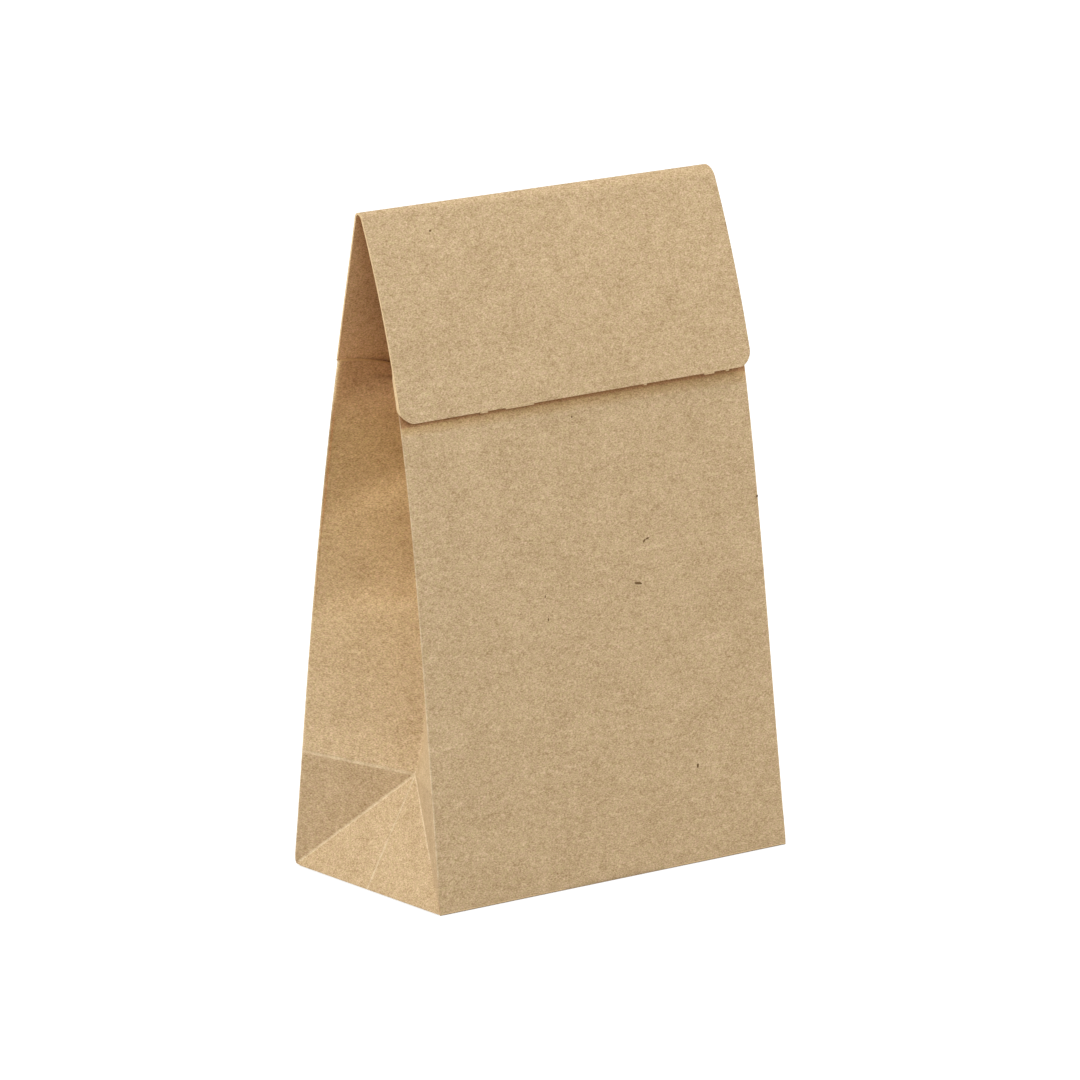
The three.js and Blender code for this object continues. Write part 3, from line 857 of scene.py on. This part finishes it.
def folded_sheet():
    """The tree that folds the sheet. It lays ruled strips between the bag's edges, joins them, gives the
    gussets their soft bends, marks the folds and rounds them."""
    tree = new_tree("folded_sheet", SHEET_SIZES)
    size = add_node(tree, "NodeGroupInput").outputs
    flat = add_node(tree, "SeparateXYZ", (add_node(tree, "GeometryNodeInputPosition"),)).outputs
    across = crowded_share(tree, flat["X"])
    along = crowded_share(tree, flat["Y"])
    evenly = add_node(tree, "Math ADD", (flat["Y"], 0.5))
    group = ruled_strip()
    strips = []

    def strip(columns, part, left, right, marks=MARKS):
        """Lays one strip between two edges, divided as its part asks, with its marks."""
        shape = {"Columns": columns + 1, "Rows": ROWS[part] + 1, "Across": across}
        edges = {"Left Edge": left, "Right Edge": right}
        strips.append(add_node(tree, "GeometryNodeGroup", shape | edges | MARKS | marks, node_tree=group))

    lay_walls(tree, size, across, along, strip)
    lay_base(tree, along, strip)
    lay_strap(tree, size, along, strip)
    lay_flap(tree, size, along, evenly, strip)
    joined = add_node(tree, "GeometryNodeJoinGeometry")
    for node in strips:
        tree.links.new(node.outputs["Mesh"], joined.inputs["Geometry"])
    merged = add_node(tree, "GeometryNodeMergeByDistance", {"Geometry": joined, "Distance": ONE_POINT})

    # Distance from the nearest fold, for rounding and for the wear, and from the nearest cut edge
    fold, worn = fold_and_wear_edges(tree)
    faces = add_node(tree, "GeometryNodeInputMeshEdgeNeighbors")
    cut = add_node(tree, "FunctionNodeCompare EQUAL", {"A": faces, "B": 1}, data_type="INT")
    near_fold, near_wear, near_cut = (near_edges(tree, merged, edges) for edges in (fold, worn, cut))
    marked = add_node(
        tree, "GeometryNodeStoreNamedAttribute", {"Geometry": merged, "Name": "fold", "Value": near_wear}
    )
    outwards = add_node(tree, "GeometryNodeInputNormal")
    bend = add_node(tree, "GeometryNodeInputNamedAttribute", {"Name": "bend"})
    offset = add_node(tree, "VectorMath SCALE", {0: outwards, "Scale": bend.outputs["Attribute"]})
    bent = add_node(tree, "GeometryNodeSetPosition", {"Geometry": marked, "Offset": offset})
    close = add_node(tree, "MapRange", (near_fold, 0.0, size["Fold Softness"], 1.0, 0.0))
    free = add_node(tree, "FunctionNodeCompare GREATER_THAN", (near_cut, ON_CUT_EDGE))
    weight = add_node(tree, "Math MULTIPLY", (close, free))
    blurred = add_node(
        tree,
        "GeometryNodeBlurAttribute",
        {"Value": add_node(tree, "GeometryNodeInputPosition"), "Iterations": 3, "Weight": weight},
        data_type="FLOAT_VECTOR",
    )
    rounded = add_node(tree, "GeometryNodeSetPosition", {"Geometry": bent, "Position": blurred})
    rubbed = rub_corners(tree, size, rounded)
    finished = add_node(tree, "GeometryNodeSetMaterial", {"Geometry": rubbed, "Material": CARD_FACE})
    add_node(tree, "NodeGroupOutput", {"Geometry": finished})
    return tree


def finish_sheet(piece):
    """Gives the sheet its thickness, inwards, with materials for its inner face and its cut edge."""
    piece.data.materials.clear()
    for material in (CARD_FACE, CARD_INSIDE, CARD_EDGE):
        piece.data.materials.append(material)
    thickness = piece.modifiers.new("card", "SOLIDIFY")
    thickness.thickness = CARD
    thickness.offset = -1
    thickness.use_even_offset = True
    thickness.use_quality_normals = True
    thickness.material_offset = 1
    thickness.material_offset_rim = 2
    graph = bpy.context.evaluated_depsgraph_get()
    solid = bpy.data.meshes.new_from_object(piece.evaluated_get(graph), depsgraph=graph)
    piece.modifiers.remove(thickness)
    piece.data = solid
    solid.name = piece.name
    # The crushed cut edges that face up or down slope up to the inner face
    inner = {index for face in solid.polygons if face.material_index == 1 for index in face.vertices}
    slopes = {}
    for face in solid.polygons:
        if face.material_index == 2 and abs(face.normal.z) > math.cos(SHARP):
            slope = MOUTH_SLOPE if face.normal.z > 0 else FLAP_SLOPE
            slopes |= {index: slope for index in face.vertices if index in inner}
    for index, slope in slopes.items():
        solid.vertices[index].co.z += slope
    # In a sharp fold the inner face stays inside the card
    for index in inner:
        place = solid.vertices[index].co
        if 0 < place.z < MOUTH_HEIGHT:
            front = between_ends(place.x, panel_depth("Left", place.z), panel_depth("Right", place.z))
            back = panel_depth("Back", place.z)
            place.y = min(max(place.y, front + CARD / 2), back - CARD / 2)
    solid.polygons.foreach_set("use_smooth", [True] * len(solid.polygons))
    solid.set_sharp_from_angle(angle=SHARP)


bag = made_mesh("folded_kraft_bag", bpy.data.meshes.new("start"), folded_sheet(), SHEET_SIZES)
finish_sheet(bag)
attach(bag, "root")
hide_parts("bag")

# Small repeated things: the nicks' remnants and the bark grains


def marked_points(name, rows):
    """A start mesh of loose points. A row is a place and the size and turn of what stands there."""
    mesh = bpy.data.meshes.new(name)
    mesh.from_pydata([row["place"] for row in rows], [], [])
    for mark in ("size", "turn"):
        values = mesh.attributes.new(mark, "FLOAT_VECTOR", "POINT")
        values.data.foreach_set("vector", [number for row in rows for number in row[mark]])
    return mesh


def scattered(name, form, material):
    """A tree that sets one small form on each marked point, in its size and turn. The form may be worn."""
    tree = new_tree(name, ("Roughness",))
    given = add_node(tree, "NodeGroupInput").outputs
    size, turn = (
        add_node(tree, "GeometryNodeInputNamedAttribute", {"Name": mark}, data_type="FLOAT_VECTOR")
        for mark in ("size", "turn")
    )
    if form == "sliver":
        shape = add_node(
            tree,
            "GeometryNodeMeshCube",
            {"Size": (1.0, 1.0, 1.0), "Vertices X": 25, "Vertices Y": 3, "Vertices Z": 5},
        )
    else:
        shape = add_node(tree, "GeometryNodeMeshIcoSphere", {"Radius": 0.5, "Subdivisions": 3})
    placed = add_node(
        tree,
        "GeometryNodeInstanceOnPoints",
        {
            "Points": given["Geometry"],
            "Instance": shape.outputs["Mesh"],
            "Rotation": turn.outputs["Attribute"],
            "Scale": size.outputs["Attribute"],
        },
    )
    real = add_node(tree, "GeometryNodeRealizeInstances", {"Geometry": placed})
    ragged = add_node(tree, "TexNoise", {"Scale": 4000.0, "Detail": 1.0})
    centred = add_node(tree, "VectorMath SUBTRACT", (ragged.outputs["Color"], (0.5, 0.5, 0.5)))
    wear = add_node(tree, "VectorMath SCALE", {0: centred, "Scale": given["Roughness"]})
    worn = add_node(tree, "GeometryNodeSetPosition", {"Geometry": real, "Offset": wear})
    finished = add_node(tree, "GeometryNodeSetMaterial", {"Geometry": worn, "Material": material})
    add_node(tree, "NodeGroupOutput", {"Geometry": finished})
    return tree


def nick_rows():
    """Each nick stands in the flap's own card and reaches just below its lower edge."""
    ends = {end: flap_depth(end, FLAP_END[end]) for end in SIDE}
    edge_tilt = math.atan2(FLAP_END["Left"] - FLAP_END["Right"], 2 * HALF_WIDTH)
    rows = []
    for share, width in NICKS:
        x = HALF_WIDTH * (2 * share - 1)
        edge = between_ends(x, FLAP_END["Left"], FLAP_END["Right"])
        face = between_ends(x, ends["Left"], ends["Right"])
        rows.append({
            "place": (x, face + CARD / 2, edge + (NICK_ROOT - NICK_HEIGHT) / 2),
            "size": (width * MM, NICK_THICKNESS, NICK_HEIGHT + NICK_ROOT),
            "turn": (0.0, edge_tilt, 0.0),
        })
    return rows


def grain_rows():
    """Each grain lies half sunk in the face of its panel."""
    rows = []
    for panel, grains in GRAINS.items():
        depth = crowned_depth if panel == "flap" else panel_depth
        for x, z, length, width, tilt in grains:
            x, z = x * MM, z * MM
            face = between_ends(x, depth("Left", z), depth("Right", z))
            rows.append({
                "place": (x, face, z),
                "size": (GRAIN_OVERSIZE * length * MM, GRAIN_THICKNESS, GRAIN_OVERSIZE * width * MM),
                "turn": (0.0, math.radians(tilt), 0.0),
            })
    return rows


for name, rows, form, material, wear in (
    ("nick_remnants", nick_rows(), "sliver", CARD_EDGE, 0.1 * MM),
    ("bark_grains", grain_rows(), "grain", bark(), 0.05 * MM),
):
    piece = made_mesh(name, marked_points(name, rows), scattered(name, form, material), {"Roughness": wear})
    piece.data.polygons.foreach_set("use_smooth", [form == "grain"] * len(piece.data.polygons))
    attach(piece, "root")

# The stage: a pale floor in a white room, and a camera and lamps round the bag

# The middle of the bag, which the camera and the lamps aim at, and how bright the stage is
BAG_MIDDLE = Vector((0, 0, 70 * MM))
FLOOR_REACH = 6.0
PAPER_GLOW = 0.7
ROOM_LIGHT = 0.743

# Each lamp's place, side and power
LAMPS = {
    "high_right_softbox": ((0.636, -0.636, 1.629), 1.4, 15.8),
    "low_left_softbox": ((-1.701, 0.456, 0.444), 0.7, 18.0),
    "front_softbox": ((-0.504, -1.386, 1.102), 1.4, 4.5),
}

# The camera stands at the photograph's place, found by fitting the bag's edges to it. The lens's axis lies
# this many pixels off the middle of the picture.
PHOTO_SIDE = 1080
FOCAL_PIXELS = 7520.1
CAMERA_YAW = math.radians(-37.708)
CAMERA_PITCH = math.radians(12.756)
CAMERA_ROLL = math.radians(-0.033)
CAMERA_DISTANCE = 1539.96 * MM
CENTRE_OFF = (1.25, -15.3)


def stage_material():
    """Matt studio paper, pale grey. Its glow, for the camera alone, makes it white but for the bag's
    shadow."""
    material, tree = new_material("white_studio_paper")
    paper = add_node(tree, "BsdfDiffuse", {"Color": srgb("#bcbcbc")})
    glow = add_node(tree, "Emission", {"Color": srgb("#ffffff"), "Strength": PAPER_GLOW})
    seen = add_node(tree, "LightPath")
    both = add_node(tree, "AddShader", (paper, glow))
    shown = add_node(tree, "MixShader", (seen.outputs["Is Camera Ray"], paper, both))
    add_node(tree, "OutputMaterial", {"Surface": shown})
    return material


def add_floor():
    mesh = bpy.data.meshes.new("studio_floor")
    corners = [(-1, -1), (1, -1), (1, 1), (-1, 1)]
    mesh.from_pydata([(x * FLOOR_REACH, y * FLOOR_REACH, 0) for x, y in corners], [], [(0, 1, 2, 3)])
    mesh.materials.append(stage_material())
    floor = bpy.data.objects.new("studio_floor", mesh)
    bpy.context.scene.collection.objects.link(floor)


def add_world():
    world = bpy.data.worlds.new("soft_white_room")
    bpy.context.scene.world = world
    world.use_nodes = True
    tree = world.node_tree
    tree.nodes.clear()
    seen = add_node(tree, "LightPath")
    room = add_node(tree, "Background", {"Color": srgb("#ffffff"), "Strength": ROOM_LIGHT})
    white = add_node(tree, "Background", {"Color": srgb("#ffffff"), "Strength": 1.0})
    shown = add_node(tree, "MixShader", (seen.outputs["Is Camera Ray"], room, white))
    add_node(tree, "OutputWorld", {"Surface": shown})


def add_lamp(name, place, side, power):
    """A square soft white lamp that shines on the bag."""
    light = bpy.data.lights.new(name, "AREA")
    light.shape = "SQUARE"
    light.size = side
    light.energy = power
    lamp = bpy.data.objects.new(name, light)
    lamp.location = place
    lamp.rotation_euler = (BAG_MIDDLE - Vector(place)).to_track_quat("-Z", "Y").to_euler()
    bpy.context.scene.collection.objects.link(lamp)


def add_camera():
    data = bpy.data.cameras.new("camera")
    data.sensor_width = 36.0
    data.lens = FOCAL_PIXELS / PHOTO_SIDE * data.sensor_width
    data.shift_x = -CENTRE_OFF[0] / PHOTO_SIDE
    data.shift_y = CENTRE_OFF[1] / PHOTO_SIDE
    data.clip_start = 0.1
    data.clip_end = 50.0
    away = Vector((
        math.sin(CAMERA_YAW) * math.cos(CAMERA_PITCH),
        -math.cos(CAMERA_YAW) * math.cos(CAMERA_PITCH),
        math.sin(CAMERA_PITCH),
    ))
    level = Vector((math.cos(CAMERA_YAW), math.sin(CAMERA_YAW), 0))
    upright = away.cross(level)
    right = level * math.cos(CAMERA_ROLL) + upright * math.sin(CAMERA_ROLL)
    up = upright * math.cos(CAMERA_ROLL) - level * math.sin(CAMERA_ROLL)
    camera = bpy.data.objects.new("camera", data)
    turn = Matrix((right, up, away)).transposed()
    camera.matrix_world = Matrix.Translation(BAG_MIDDLE + away * CAMERA_DISTANCE) @ turn.to_4x4()
    bpy.context.scene.collection.objects.link(camera)
    bpy.context.scene.camera = camera


add_floor()
add_world()
for name, (place, side, power) in LAMPS.items():
    add_lamp(name, place, side, power)
add_camera()
bpy.context.scene.view_settings.view_transform = "Standard"
